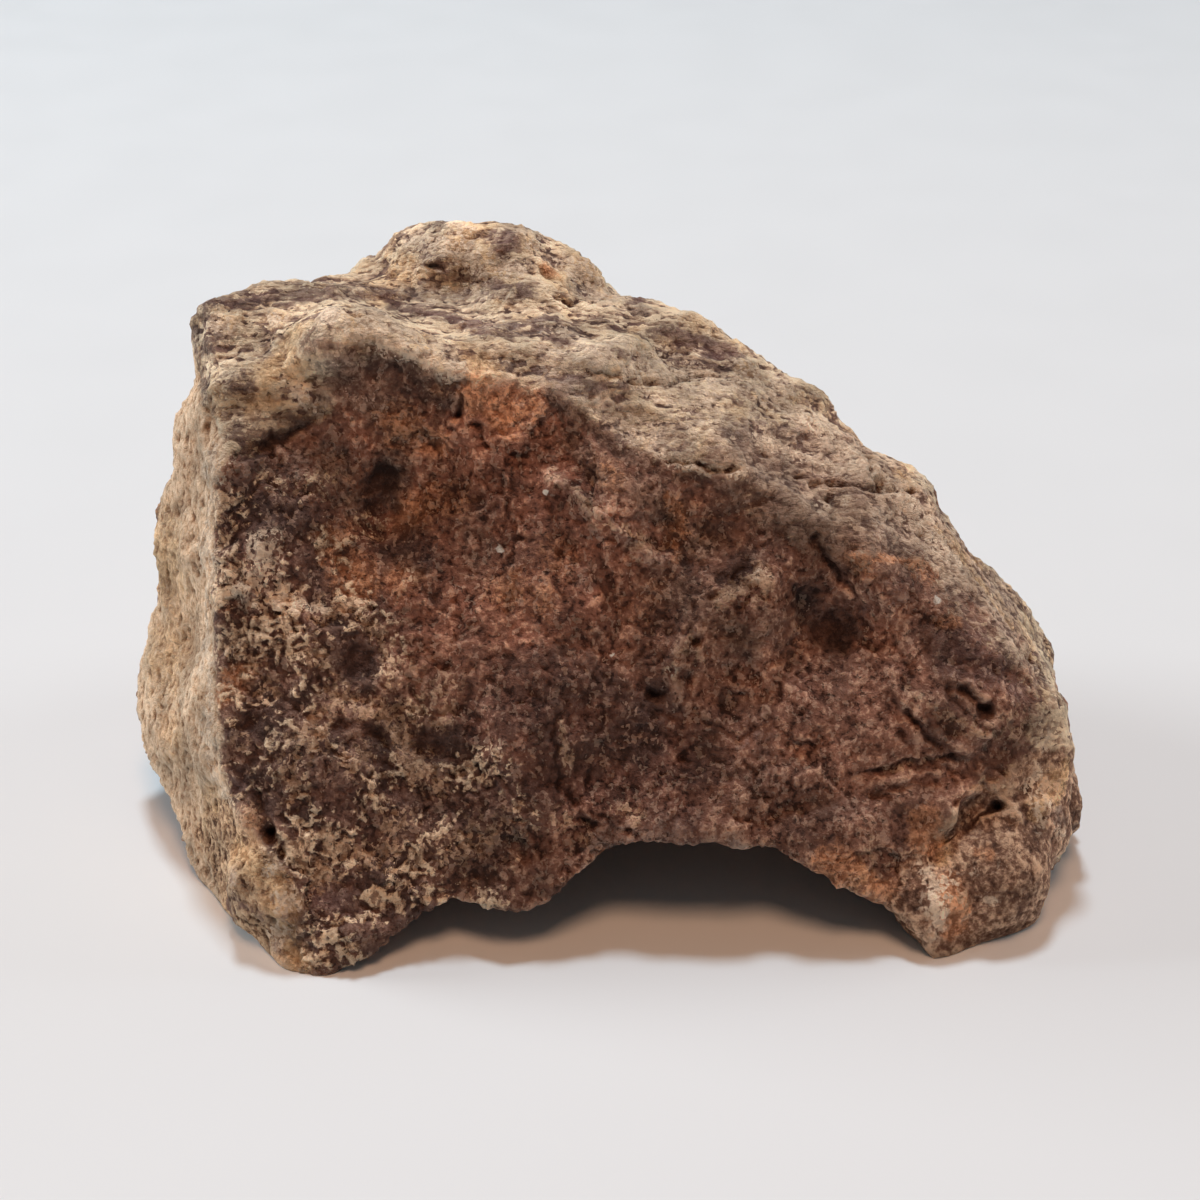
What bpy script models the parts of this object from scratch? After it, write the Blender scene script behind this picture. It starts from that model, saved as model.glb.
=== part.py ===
"""A weathered stone meteorite: one broken, arched lump that stands on three small feet."""
import math

import bmesh
import bpy
import numpy as np
from mathutils import Vector, noise

MM = 0.001
STONE_NAME = "meteorite"
COLLECTION_NAME = "weathered_stone_meteorite"
CUTTER_COLLECTION_NAME = "stone_cutters"

# The block the stone was broken from, before any face is struck off it.
BLOCK_SIDE = 120.0

# Points nearer together than this count as one, in metres.
SAME_POINT = 1e-7

# Broken faces: turn from straight ahead, tilt up from level, and a point the face passes through.
BROKEN_FACES = {
    "front": (0, 31, (-19.8, -17.6, 0.0)),
    "front_right": (30, 18, (23.5, -15.2, 0.0)),
    "top": (50, 85, (-12.0, 6.0, 34.8)),
    "top_rear": (175, 66, (-18.0, 11.0, 35.4)),
    "slope": (52, 58, (8.5, 4.0, 29.8)),
    "shoulder": (92, 38, (27.0, 0.0, 16.5)),
    "left": (-62, 16, (-24.3, -7.2, 16.8)),
    "left_low": (-54, 7, (-25.2, -7.2, 16.8)),
    "corner": (-20, 48, (-26.8, 8.0, 36.0)),
    "right_end": (82, 4, (31.2, -3.0, 6.0)),
    "right_front": (60, -15, (30.0, -8.5, 2.0)),
    "back": (178, 7, (0.0, 22.0, 20.0)),
    "back_left": (-128, 3, (-28.4, 8.6, 12.0)),
    "back_left_top": (-118, 36, (-27.2, 14.0, 31.0)),
    "back_left_end": (-150, 14, (-19.0, 19.5, 12.0)),
    "back_right": (140, 31, (23.5, 9.5, 17.0)),
    "back_low": (150, -12, (20.0, 14.5, 8.0)),
    "under": (170, -82, (0.0, 8.0, 2.4)),
    "under_left": (-120, -60, (-26.0, 0.0, 2.0)),
    "under_right": (110, -55, (27.0, 0.0, 2.5)),
    "under_back": (180, -50, (-10.0, 21.0, 4.0)),
}

# The vault under the stone: centre and half sizes of what is hollowed out.
VAULTS = {
    "vault": ((6.2, -10.0, -8.0), (16.4, 24.0, 15.5)),
    "vault_left": ((-7.0, -18.0, -7.5), (13.6, 20.0, 11.0)),
    "vault_gap": ((-17.0, 8.0, -3.6), (12.0, 11.0, 7.4)),
    "vault_right": ((18.0, 6.0, -4.0), (12.0, 12.0, 6.4)),
    "vault_foot": ((14.8, -17.5, -1.2), (6.6, 6.0, 5.4)),
}

# How finely the round lumps and hollows are divided.
ROUND_DETAIL = 3

# Lumps that stand out from the block: centre and half sizes.
LUMPS = {
    "knob_peak": ((-11.0, 15.2, 34.4), (4.8, 4.0, 3.8)),
    "knob_crest": ((-6.4, 15.0, 33.6), (5.2, 4.4, 4.4)),
    "knob_right": ((-3.0, 14.4, 32.2), (3.9, 3.8, 4.0)),
    "knob_shoulder": ((-15.4, 13.0, 32.4), (5.2, 4.6, 3.2)),
    "knob_base": ((-9.0, 15.5, 28.5), (12.5, 7.0, 7.4)),
    "knob_left_low": ((-15.0, 16.5, 32.0), (3.6, 3.4, 2.8)),
    "knob_front": ((-5.5, 11.2, 33.4), (5.0, 3.2, 2.4)),
    "knob_rear": ((-8.5, 19.0, 31.0), (5.5, 3.4, 4.6)),
    "right_knuckle": ((29.8, -3.4, 4.2), (3.4, 3.6, 3.6)),
    "left_slab": ((-26.4, 6.0, 10.5), (4.4, 5.0, 9.0)),
    "left_foot": ((-20.8, -12.8, 3.4), (3.4, 3.4, 3.9)),
    "right_foot": ((24.8, -10.0, 3.0), (4.6, 5.0, 5.4)),
    "back_foot": ((2.0, 15.2, 3.8), (7.6, 4.8, 4.8)),
    "back_foot_left": ((-5.5, 14.6, 4.4), (6.4, 4.6, 3.8)),
    "back_foot_front": ((4.5, 10.5, 4.2), (5.6, 5.0, 3.2)),
    "belly_boss": ((13.0, 8.5, 4.6), (6.0, 4.6, 3.6)),
}

# The edges are worn round: step of the even mesh, and how often and how strongly it is smoothed.
REMESH_STEP = 0.5
WEATHERING_ROUNDS = 9
WEATHERING_STRENGTH = 0.5

# Hollows and swellings pressed into the faces: centre, reach, and how far out (less than zero is in).
DENTS = {
    "upper_dish": ((-14.0, -2.0, 27.0), 9.0, -1.5),
    "dish_pit": ((-13.9, -1.7, 26.0), 3.0, -0.9),
    "nose": ((-17.3, 4.0, 34.6), 3.4, 1.0),
    "right_hollow": ((14.5, -6.2, 18.4), 5.2, -1.8),
    "saddle": ((3.0, 2.0, 30.5), 5.0, -1.0),
    "lower_left_bulge": ((-18.0, -12.0, 10.0), 7.0, 0.7),
    "front_hump": ((-2.0, -9.0, 15.0), 8.0, 0.7),
    "back_scoop": ((-7.0, 22.0, 15.0), 10.0, -1.8),
    "back_boss": ((7.0, 21.0, 9.0), 6.0, 1.2),
    "back_right_scoop": ((17.0, 13.0, 19.0), 7.0, -1.3),
    "left_scoop": ((-28.0, 0.0, 14.0), 5.0, -0.7),
    "left_rear_scoop": ((-26.0, 11.0, 19.0), 6.5, -1.4),
    "left_rear_swell": ((-24.0, 15.0, 9.0), 6.0, 0.8),
    "left_rear_pit": ((-22.0, 16.0, 15.0), 3.0, -1.1),
    "top_trough": ((-10.0, 8.0, 34.5), 6.0, -0.8),
    "shoulder_pit": ((25.0, 5.0, 17.0), 4.0, -0.8),
    "slope_swell": ((15.0, 2.0, 27.0), 6.0, 0.7),
}

# Ridges and cracks: the points they run through, half width, and how far out (less than zero is in).
LINES = {
    "brow": (((-17.0, 4.4, 36.0), (-11.3, 2.4, 32.8), (-7.8, 2.0, 32.1), (-2.5, 1.5, 31.3)), 2.2, 0.6),
    "face_ridge": (((0.0, -0.6, 27.6), (8.0, -4.0, 22.0), (6.0, -6.6, 17.6)), 2.2, 0.7),
    "crest": (((3.0, -0.5, 28.0), (9.0, -1.2, 27.0), (15.0, -2.4, 25.0)), 2.0, 0.5),
    "right_crease": (((10.4, -12.1, 8.6), (18.2, -11.3, 10.4), (25.5, -10.0, 11.8)), 1.8, -0.7),
    "foot_crack": (((25.5, -11.6, 9.4), (24.0, -12.0, 8.4), (21.5, -13.0, 6.6)), 1.3, -1.3),
    "left_notch": (((-25.4, 4.0, 31.5), (-27.5, 7.0, 29.6)), 2.4, -0.6),
    "back_ledge": (((-18.0, 20.0, 24.0), (-6.0, 23.0, 21.0), (8.0, 20.0, 22.0)), 2.6, 0.9),
    "left_rear_ridge": (((-24.0, 13.0, 25.0), (-26.0, 12.5, 14.0), (-23.0, 15.0, 5.0)), 2.4, 0.7),
    "slope_ledge": (((2.0, 8.0, 32.0), (11.0, 7.0, 28.5), (19.0, 7.0, 22.5)), 2.0, 0.5),
    "back_groove": (((-20.0, 18.0, 8.0), (-8.0, 23.0, 6.0), (4.0, 23.0, 4.0)), 2.2, -0.8),
}

# Grain of the broken surface: size of the lumps, how far they stand out, and a shift.
GRAIN = ((9.0, 0.8, 3.0), (4.6, 0.55, 17.0), (2.4, 0.4, 41.0))

# The grain is rougher in some patches: their size, the usual strength, its swing, and its limits.
ROUGH_PATCH = 11.0
ROUGH_SHIFT = 7.0
ROUGH_USUAL = 0.9
ROUGH_SWING = 1.2
ROUGH_LIMITS = (0.5, 1.6)

# How much is worn off the feet, and how near the floor a point counts as part of a worn spot.
FOOT_LEVEL = 0.3
FOOT_FLATNESS = 0.08

TRIANGLES = 9400

STONE_COLOUR = (0.17, 0.095, 0.06, 1.0)
STONE_ROUGHNESS = 0.85


def clear_scene():
    for thing in list(bpy.data.objects):
        bpy.data.objects.remove(thing, do_unlink=True)


def new_collection(name):
    group = bpy.data.collections.new(name)
    bpy.context.scene.collection.children.link(group)
    return group


def facing(turn, tilt):
    turn = math.radians(turn)
    tilt = math.radians(tilt)
    return Vector((math.cos(tilt) * math.sin(turn), -math.cos(tilt) * math.cos(turn), math.sin(tilt)))


def new_object(name, group, body):
    mesh = bpy.data.meshes.new(name)
    body.to_mesh(mesh)
    body.free()
    thing = bpy.data.objects.new(name, mesh)
    group.objects.link(thing)
    return thing


def broken_block(name, group):
    body = bmesh.new()
    bmesh.ops.create_cube(body, size=BLOCK_SIDE * MM)
    bmesh.ops.translate(body, verts=body.verts, vec=(0.0, 0.0, BLOCK_SIDE * MM / 2.0))
    for turn, tilt, point in BROKEN_FACES.values():
        everything = list(body.verts) + list(body.edges) + list(body.faces)
        bmesh.ops.bisect_plane(
            body,
            geom=everything,
            dist=SAME_POINT,
            plane_co=Vector(point) * MM,
            plane_no=facing(turn, tilt),
            clear_outer=True,
        )
        rim = [edge for edge in body.edges if edge.is_boundary]
        bmesh.ops.holes_fill(body, edges=rim, sides=0)
    bmesh.ops.recalc_face_normals(body, faces=body.faces)
    return new_object(name, group, body)


def round_body(name, group, centre, half_sizes):
    body = bmesh.new()
    bmesh.ops.create_icosphere(body, subdivisions=ROUND_DETAIL, radius=1.0)
    bmesh.ops.scale(body, verts=body.verts, vec=Vector(half_sizes) * MM)
    bmesh.ops.translate(body, verts=body.verts, vec=Vector(centre) * MM)
    thing = new_object(name, group, body)
    thing.hide_render = True
    thing.display_type = "WIRE"
    return thing


def boolean(thing, other, operation):
    step = thing.modifiers.new(other.name, "BOOLEAN")
    step.solver = "EXACT"
    step.operation = operation
    step.object = other


def settle(thing):
    bpy.context.view_layer.update()
    graph = bpy.context.evaluated_depsgraph_get()
    mesh = bpy.data.meshes.new_from_object(thing.evaluated_get(graph), depsgraph=graph)
    thing.modifiers.clear()
    thing.data = mesh
    mesh.name = thing.name


def points_of(mesh):
    points = np.empty(len(mesh.vertices) * 3)
    mesh.vertices.foreach_get("co", points)
    return points.reshape(-1, 3) / MM


def normals_of(mesh):
    normals = np.empty(len(mesh.vertices) * 3)
    mesh.vertex_normals.foreach_get("vector", normals)
    return normals.reshape(-1, 3)


def put_points(mesh, points):
    mesh.vertices.foreach_set("co", (points * MM).ravel())
    mesh.update()


def falloff(distance, reach):
    share = np.clip(1.0 - (distance / reach) ** 2, 0.0, 1.0)
    return share * share


def line_distance(points, run):
    nearest = np.full(len(points), np.inf)
    for start, end in zip(run[:-1], run[1:]):
        start = np.array(start)
        along = np.array(end) - start
        share = np.clip((points - start) @ along / (along @ along), 0.0, 1.0)
        gap = np.linalg.norm(points - start - share[:, None] * along, axis=1)
        nearest = np.minimum(nearest, gap)
    return nearest


def press(points):
    height = np.zeros(len(points))
    for centre, reach, out in DENTS.values():
        height += out * falloff(np.linalg.norm(points - np.array(centre), axis=1), reach)
    for run, half_width, out in LINES.values():
        height += out * falloff(line_distance(points, run), half_width)
    return height


def cloud(points, size, shift):
    place = Vector((shift, 0.0, 0.0))
    return np.array([noise.noise(Vector(point) / size + place) for point in points])


def grain(points):
    rough = np.clip(ROUGH_USUAL + ROUGH_SWING * cloud(points, ROUGH_PATCH, ROUGH_SHIFT), *ROUGH_LIMITS)
    height = np.zeros(len(points))
    for size, out, shift in GRAIN:
        height += out * rough * cloud(points, size, shift)
    return height


def flatten_feet(mesh):
    points = points_of(mesh)
    low = points[:, 2] < FOOT_FLATNESS
    points[low, 2] = 0.0
    put_points(mesh, points)


def centre_on_floor(mesh):
    points = points_of(mesh)
    middle = (points.min(axis=0) + points.max(axis=0)) / 2.0
    points[:, :2] -= middle[:2]
    print("stone centred by", middle[:2].round(3), "mm")
    put_points(mesh, points)


def stone_material():
    material = bpy.data.materials.new("weathered_stone")
    material.use_nodes = True
    shader = material.node_tree.nodes["Principled BSDF"]
    shader.inputs["Base Color"].default_value = STONE_COLOUR
    shader.inputs["Roughness"].default_value = STONE_ROUGHNESS
    shader.inputs["Metallic"].default_value = 0.0
    return material


def build_stone():
    group = new_collection(COLLECTION_NAME)
    cutters = new_collection(CUTTER_COLLECTION_NAME)
    stone = broken_block(STONE_NAME, group)
    for name, (centre, half_sizes) in LUMPS.items():
        boolean(stone, round_body(name, cutters, centre, half_sizes), "UNION")
    for name, (centre, half_sizes) in VAULTS.items():
        boolean(stone, round_body(name, cutters, centre, half_sizes), "DIFFERENCE")
    settle(stone)
    remesh = stone.modifiers.new("even_mesh", "REMESH")
    remesh.mode = "VOXEL"
    remesh.voxel_size = REMESH_STEP * MM
    soften = stone.modifiers.new("weathering", "SMOOTH")
    soften.factor = WEATHERING_STRENGTH
    soften.iterations = WEATHERING_ROUNDS
    settle(stone)
    points = points_of(stone.data)
    points += normals_of(stone.data) * press(points)[:, None]
    put_points(stone.data, points)
    points += normals_of(stone.data) * grain(points)[:, None]
    points[:, 2] = np.maximum(points[:, 2] - FOOT_LEVEL, 0.0)
    put_points(stone.data, points)
    thin = stone.modifiers.new("fewer_faces", "DECIMATE")
    thin.ratio = TRIANGLES / (2.0 * len(stone.data.vertices))
    thin.use_collapse_triangulate = True
    settle(stone)
    flatten_feet(stone.data)
    centre_on_floor(stone.data)
    stone.data.materials.clear()
    stone.data.materials.append(stone_material())
    return stone


clear_scene()
build_stone()
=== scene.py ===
import math

import bpy
import numpy as np
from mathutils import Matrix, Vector, noise
from mathutils.bvhtree import BVHTree


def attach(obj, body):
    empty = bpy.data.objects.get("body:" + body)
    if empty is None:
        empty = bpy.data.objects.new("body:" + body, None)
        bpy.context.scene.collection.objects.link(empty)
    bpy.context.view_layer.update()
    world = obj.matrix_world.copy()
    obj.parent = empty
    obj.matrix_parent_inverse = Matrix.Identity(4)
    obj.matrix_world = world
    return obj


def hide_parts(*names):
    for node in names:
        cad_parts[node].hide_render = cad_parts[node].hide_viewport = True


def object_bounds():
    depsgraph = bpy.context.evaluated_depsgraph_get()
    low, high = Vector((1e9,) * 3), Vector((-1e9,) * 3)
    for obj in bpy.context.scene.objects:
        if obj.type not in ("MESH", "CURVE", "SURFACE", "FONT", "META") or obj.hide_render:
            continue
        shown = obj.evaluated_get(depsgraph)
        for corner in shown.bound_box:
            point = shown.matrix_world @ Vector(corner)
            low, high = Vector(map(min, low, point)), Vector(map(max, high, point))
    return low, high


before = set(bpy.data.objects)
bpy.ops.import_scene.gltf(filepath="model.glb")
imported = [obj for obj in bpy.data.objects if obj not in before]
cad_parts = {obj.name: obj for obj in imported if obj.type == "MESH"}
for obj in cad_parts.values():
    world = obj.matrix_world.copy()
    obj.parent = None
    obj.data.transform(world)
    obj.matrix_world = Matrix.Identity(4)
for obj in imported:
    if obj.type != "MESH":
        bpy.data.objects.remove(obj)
cadLow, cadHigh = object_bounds()
print("frame loaded", [round(s * 1000, 1) for s in (cadHigh - cadLow)], "mm")

mm = 0.001

# where the photographer stood; the aim point and the distance are in mm
photoView = {
    "tilt": 30.0,
    "spread": 35.0,
    "distance": 126.0,
    "aim": (0.05, -3.11, 17.0),
    "pixels": 1200,
}


def viewAxes(view):
    tilt = math.radians(view["tilt"])
    back = Vector((0.0, -math.cos(tilt), math.sin(tilt)))
    up = Vector((0.0, math.sin(tilt), math.cos(tilt)))
    start = Vector(view["aim"]) + back * view["distance"]
    step = math.tan(math.radians(view["spread"]) / 2) / (view["pixels"] / 2)
    return start, back, up, step


def makeCamera(view):
    lens = bpy.data.cameras.new("photoCamera")
    lens.angle = math.radians(view["spread"])
    lens.clip_start = 0.005
    lens.clip_end = 20.0
    camera = bpy.data.objects.new("photoCamera", lens)
    bpy.context.scene.collection.objects.link(camera)
    camera.location = viewAxes(view)[0] * mm
    camera.rotation_euler = (math.pi / 2 - math.radians(view["tilt"]), 0.0, 0.0)
    bpy.context.scene.camera = camera


def toPixels(view, points):
    # where each point of the stone falls in the photo
    start, back, up, step = viewAxes(view)
    off = points - np.array(start)
    depth = -(off @ np.array(back)) * step
    half = view["pixels"] / 2
    return np.stack([half + off[:, 0] / depth, half - (off @ np.array(up)) / depth], axis=1)


makeCamera(photoView)
print("camera placed")


stoneForm = {
    "meshStep": 0.20,             # mm, size of the first even mesh
    "quickStep": 0.32,
    "softening": 9,               # rounds that melt the flat facets away
    "triangles": 196000,
    "mostRelief": 2.4,            # mm, carving never goes further than this
    "floorFade": (0.04, 0.8),     # mm above the floor, between these the carving fades in
    "boxSpare": 0.15,             # mm, how far the skin may stand out of the solid's box
}

# texture of each kind of surface, all in mm: size, height
stoneSkin = {
    "knuckles": (3.4, 0.16),
    "bigFacets": (4.4, 0.50),
    "facets": (2.0, 0.30),
    "smallFacets": (0.90, 0.17),
    "brokenRidges": (1.5, 0.20),
    "flakes": (1.6, 0.14),
    "flakeFacets": (1.6, 0.18),
    "flakeSteps": (5.5, 0.36),
    "leftPits": (0.80, 0.16),
    "crustNet": (0.70, 0.15),
    "grit": (0.42, 0.13),
}

# how far a mark fades out, as a share of its radius or half width
fading = {"crack": 1.6, "rib": 2.0, "spot": 1.5, "paint": 1.7, "grain": 1.6}

# cracks, darker with painted shade the deeper they are: corners in photo pixels, half width in mm, depth
# in mm
cracks = {
    "saddle": (((672, 459), (690, 461), (705, 466), (722, 469), (737, 468)), 0.26, 0.85),
    "slope": (((800, 476), (812, 481), (830, 483), (848, 484), (866, 488), (913, 491)), 0.22, 0.6),
    "flakeEdge": (((858, 437), (864, 448), (871, 462), (877, 478)), 0.28, 0.85),
    "ledge": (((815, 536), (820, 550), (833, 572), (842, 586), (852, 598)), 0.28, 0.75),
    "short": (((829, 494), (834, 508), (833, 516)), 0.22, 0.45),
    "crest": (((712, 596), (728, 586), (748, 570)), 0.32, 0.6),
    "middle": (((557, 718), (555, 740), (558, 765), (560, 790)), 0.24, 0.38),
    "archSide": (((566, 792), (578, 808), (590, 828)), 0.28, 0.5),
    "footDeep": (((945, 843), (962, 832), (975, 822), (990, 812), (998, 808)), 0.2, 0.6),
    "longGroove": (((908, 713), (918, 726), (930, 738), (942, 749)), 0.3, 0.6),
    "flowHigh": (((890, 636), (903, 658), (914, 680)), 0.22, 0.35),
    "flowLow": (((866, 700), (896, 733), (932, 764), (962, 776)), 0.22, 0.28),
    "flowRight": (((948, 690), (958, 705), (975, 722), (996, 735)), 0.22, 0.4),
    "shortGroove": (((966, 688), (976, 698), (984, 706), (995, 714)), 0.3, 0.7),
    "fold": (((850, 776), (880, 773), (905, 765), (940, 757), (975, 758), (1003, 771)), 0.24, 0.36),
    "lowFold": (((872, 797), (900, 787), (932, 779)), 0.22, 0.28),
    "browSlit": (((462, 400), (460, 410), (456, 416)), 0.26, 0.7),
    "browSlitLow": (((472, 424), (480, 434), (484, 444)), 0.22, 0.55),
    "swirl": (((425, 672), (412, 690), (424, 710), (446, 716), (466, 704)), 0.22, 0.26),
    "ring": (((330, 730), (352, 722), (378, 732), (392, 756), (384, 784)), 0.45, 0.4),
    "leftNotch": (((252, 792), (262, 812), (268, 834), (282, 850)), 0.4, 0.55),
    "underBrowLip": (((440, 382), (480, 391), (520, 397), (556, 408)), 0.6, 0.08),
    "underSaddleLip": (((566, 412), (600, 438), (640, 464), (690, 478), (735, 492)), 0.6, 0.1),
    "underShoulder": (((765, 528), (804, 552), (848, 574)), 0.5, 0.06),
    "noseLow": (((262, 446), (285, 436), (303, 424), (322, 412)), 0.35, 0.45),
    "topStreak": (((590, 372), (640, 380), (668, 384), (700, 374), (722, 374)), 0.22, 0.38),
    "topStreakLow": (((636, 356), (664, 354), (690, 352)), 0.2, 0.35),
    "topStreakHigh": (((392, 270), (420, 266), (440, 268)), 0.24, 0.4),
    "knobFoot": (((548, 290), (570, 300), (590, 296)), 0.26, 0.45),
}

# ribs that stand proud: corners, half width, height; one is pressed in
ribs = {
    "crest": (((722, 598), (740, 584), (758, 570), (765, 578)), 0.5, 0.55),
    "middle": (((686, 636), (677, 655), (675, 675), (677, 698)), 0.34, 0.38),
    "band": (((556, 478), (580, 503), (612, 520), (640, 542), (662, 562)), 0.75, 0.75),
    "bandTop": (((700, 505), (694, 530), (700, 556)), 0.5, 0.35),
    "fold": (((872, 786), (905, 776), (940, 770)), 0.35, 0.4),
    "flow": (((888, 688), (914, 711), (950, 744), (986, 764)), 0.38, 0.4),
    "foot": (((925, 846), (948, 822), (980, 798), (1012, 780)), 0.45, 0.15),
    "grooveLip": (((948, 676), (962, 680), (985, 700)), 0.35, 0.5),
    "footCrackSides": (((948, 846), (984, 820), (1012, 800)), 0.8, 0.55),
    "footCrackUpper": (((958, 806), (972, 790), (990, 782)), 0.45, -0.35),
    "crack": (((561, 722), (562, 745), (566, 770)), 0.38, 0.35),
    "archSide": (((572, 790), (588, 808), (598, 822)), 0.6, 0.35),
    "rightTurn": (((885, 660), (905, 690), (940, 708), (985, 730)), 0.5, 0.45),
    "leftEdge": (((226, 560), (222, 640), (222, 700), (226, 770)), 0.6, 0.3),
    "diagonal": (((330, 318), (372, 336), (412, 356), (452, 372)), 0.6, 0.3),
    "browLip": (((436, 366), (480, 376), (520, 382), (556, 392)), 0.6, 0.12),
    "saddleLip": (((560, 394), (600, 422), (640, 449), (668, 457), (704, 462), (742, 474)), 0.6, 0.18),
    "shoulderLip": (((745, 480), (762, 512), (806, 536), (850, 558), (922, 562), (955, 598)), 0.6, 0.12),
}

# single hollows, darkened with painted shade: photo pixel, radius in mm, depth in mm
hollows = {
    "underBrow": (380, 480, 1.0, 0.7),
    "underBrowLow": (377, 504, 0.6, 0.6),
    "slopeCavity": (882, 482, 0.65, 0.8),
    "crestFoot": (738, 572, 1.1, 0.45),
    "middleHole": (655, 697, 0.6, 0.8),
    "middleSpeck": (697, 640, 0.38, 0.55),
    "lowSpeck": (683, 762, 0.36, 0.5),
    "rightHollow": (832, 630, 1.5, 0.45),
    "footHole": (997, 808, 0.5, 0.9),
    "leftHole": (266, 835, 0.42, 0.9),
    "lowLeft": (425, 745, 1.5, 0.55),
    "lowLeftDark": (300, 812, 1.3, 0.4),
    "charNook": (250, 722, 0.9, 0.4),
    "charNookRight": (360, 665, 1.2, 0.4),
    "slopePit": (768, 455, 0.3, 0.45),
    "slopePitLow": (922, 536, 0.4, 0.4),
    "grooveEnd": (988, 712, 0.6, 0.6),
    "rightPit": (1032, 660, 0.45, 0.6),
    "knobPit": (546, 272, 0.55, 0.4),
    "knobPitLeft": (500, 256, 0.7, 0.3),
    "browPit": (545, 401, 0.32, 0.5),
}

# broad swells and dishes: photo pixel, radius in mm, height in mm
broadForms = {
    "knobRight": (548, 250, 2.0, -0.85),
    "knobRightLow": (592, 288, 1.6, -0.6),
    "knobLeft": (386, 246, 3.2, -1.3),
    "cornerTop": (256, 300, 4.6, -1.2),
    "hollowFill": (842, 654, 2.6, 0.95),
    "hollowFillLeft": (404, 500, 1.8, 0.55),
    "dishUnderBrow": (440, 500, 7.5, -0.95),
    "bandSwell": (612, 512, 2.8, 0.95),
    "valley": (690, 530, 2.6, -1.15),
    "crestBlock": (762, 606, 3.0, 1.0),
    "rightHollow": (834, 632, 4.4, -0.75),
    "middleSwell": (560, 620, 4.6, 0.35),
    "lowHollow": (620, 725, 3.8, -0.9),
    "leftHollow": (250, 715, 2.8, -0.6),
    "lowBulge": (372, 812, 5.0, 0.6),
    "saddleDish": (650, 430, 3.2, -0.5),
    "topDish": (545, 338, 4.6, -0.35),
    "plumDish": (958, 655, 4.4, -0.7),
    "turnSwell": (905, 715, 3.2, 0.35),
    "lipSwell": (700, 810, 5.0, 0.35),
    "footFace": (960, 880, 3.4, 0.3),
    "sideDish": (195, 620, 4.0, -0.35),
    "noseSwell": (322, 345, 2.4, 0.4),
    "cornerDish": (260, 350, 2.6, -0.3),
}

# small lumps, as the broad forms
lumps = {
    "leftLump": (247, 820, 1.1, 0.5),
    "smoothPebble": (233, 876, 1.2, 0.35),
    "crustLump": (262, 548, 0.9, 0.4),
    "crustLumpLow": (243, 586, 0.8, 0.35),
    "ringHeart": (356, 756, 0.9, 0.4),
    "tanBlock": (418, 768, 1.0, 0.45),
    "swirlHeart": (440, 692, 1.3, 0.35),
    "archChip": (617, 810, 0.6, 0.4),
    "archChipRight": (634, 821, 0.5, 0.35),
    "footCream": (938, 903, 0.9, 0.3),
    "footOrange": (958, 905, 0.9, 0.35),
    "footPebble": (1012, 812, 0.7, 0.45),
    "knobOrange": (545, 262, 0.8, 0.35),
    "knobTan": (520, 236, 0.9, 0.35),
    "slopeTan": (748, 366, 0.9, 0.3),
    "rightTan": (1036, 805, 0.9, 0.4),
    "purpleLump": (230, 386, 1.3, 0.4),
    "noseFlake": (300, 395, 0.8, 0.3),
}


def pointsOf(mesh):
    flat = np.empty(len(mesh.vertices) * 3, dtype=np.float32)
    mesh.vertices.foreach_get("co", flat)
    return flat.reshape(-1, 3).astype(np.float64) / mm


def normalsOf(mesh):
    flat = np.empty(len(mesh.vertices) * 3, dtype=np.float32)
    mesh.vertex_normals.foreach_get("vector", flat)
    return flat.reshape(-1, 3).astype(np.float64)


def setPoints(mesh, points):
    mesh.vertices.foreach_set("co", (points * mm).astype(np.float32).ravel())
    mesh.update()


def addWeight(mesh, name, values):
    layer = mesh.attributes.new(name, "FLOAT", "POINT")
    layer.data.foreach_set("value", values.astype(np.float32))


def settle(thing):
    # the modifiers become part of the mesh
    bpy.context.view_layer.update()
    graph = bpy.context.evaluated_depsgraph_get()
    mesh = bpy.data.meshes.new_from_object(thing.evaluated_get(graph), depsgraph=graph)
    thing.modifiers.clear()
    thing.data = mesh


def smoothStep(value, low, high):
    share = np.clip((value - low) / (high - low), 0.0, 1.0)
    return share * share * (3 - 2 * share)


def places(points, size, shift, stretch):
    offset = np.array([shift, shift * 0.37, -shift * 0.21])
    return (points / (size * np.array(stretch)) + offset).tolist()


def cloud(points, size, shift, stretch=(1, 1, 1)):
    # soft hills and dips, about -0.7 to 0.7
    spots = places(points, size, shift, stretch)
    return np.fromiter((noise.noise(p) for p in spots), dtype=np.float64, count=len(spots))


def drift(points, size, shifts):
    # a small push for each point, one direction for each shift
    return np.stack([cloud(points, size, shift) for shift in shifts], axis=1)


def creased(points, size, shift, stretch=(1, 1, 1)):
    # rounded lumps with sharp valleys between them, 0 in a valley
    total = np.zeros(len(points))
    strength = 1.0
    whole = 0.0
    for layer in range(3):
        total += strength * np.abs(cloud(points, size / 2 ** layer, shift + 7.3 * layer, stretch))
        whole += strength
        strength *= 0.55
    return np.minimum(1.0, total / whole * 2.4)


def pocks(points, size, shift, stretch, share):
    # round pits, 1 in the middle of one; only this share of the cells has one
    spots = places(points, size, shift, stretch)
    depth = np.empty(len(spots))
    for index, spot in enumerate(spots):
        gaps, seeds = noise.voronoi(spot)
        depth[index] = gaps[0] if noise.cell(seeds[0] * 9.1) < share else 1.0
    return 1.0 - smoothStep(depth, 0.08, 0.50)


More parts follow.
